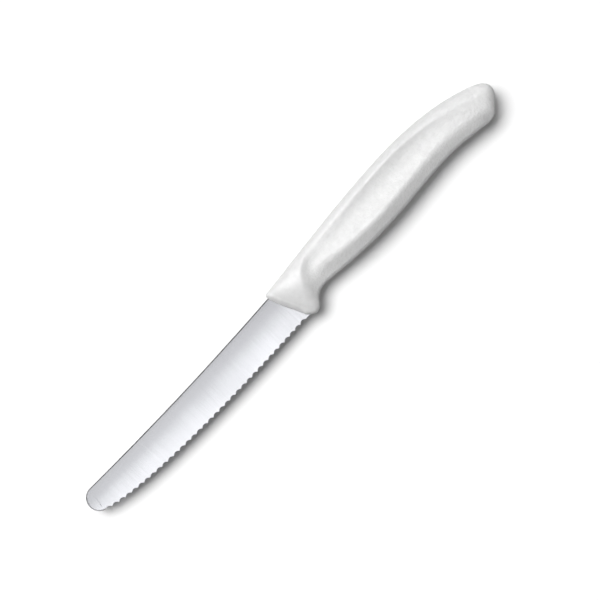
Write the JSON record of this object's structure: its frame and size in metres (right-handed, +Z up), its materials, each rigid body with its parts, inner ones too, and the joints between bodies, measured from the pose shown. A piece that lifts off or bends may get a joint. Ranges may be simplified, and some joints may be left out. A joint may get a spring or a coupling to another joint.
{
  "type": "serrated table knife",
  "caption": "Serrated table knife with a round-tipped steel blade, a scalloped cutting edge and a sculpted white plastic handle moulded round the hidden tang",
  "frame": {"origin": "bottom centre of the bounding box, under the middle of the knife as it lies on its side", "axes": "+X from the tip of the blade to the butt of the handle, +Y from the cutting edge to the spine, +Z up, out of the face that the picture shows"},
  "size_m": [0.221, 0.0242, 0.0128],
  "materials": {
    "blade_steel": "fine ground stainless steel, satin along the blade",
    "handle_plastic": "white polypropylene with a fine moulded grain"
  },
  "bodies": {
    "root": {"blade": "blade_steel", "handle": "handle_plastic"}
  },
  "joints": []
}
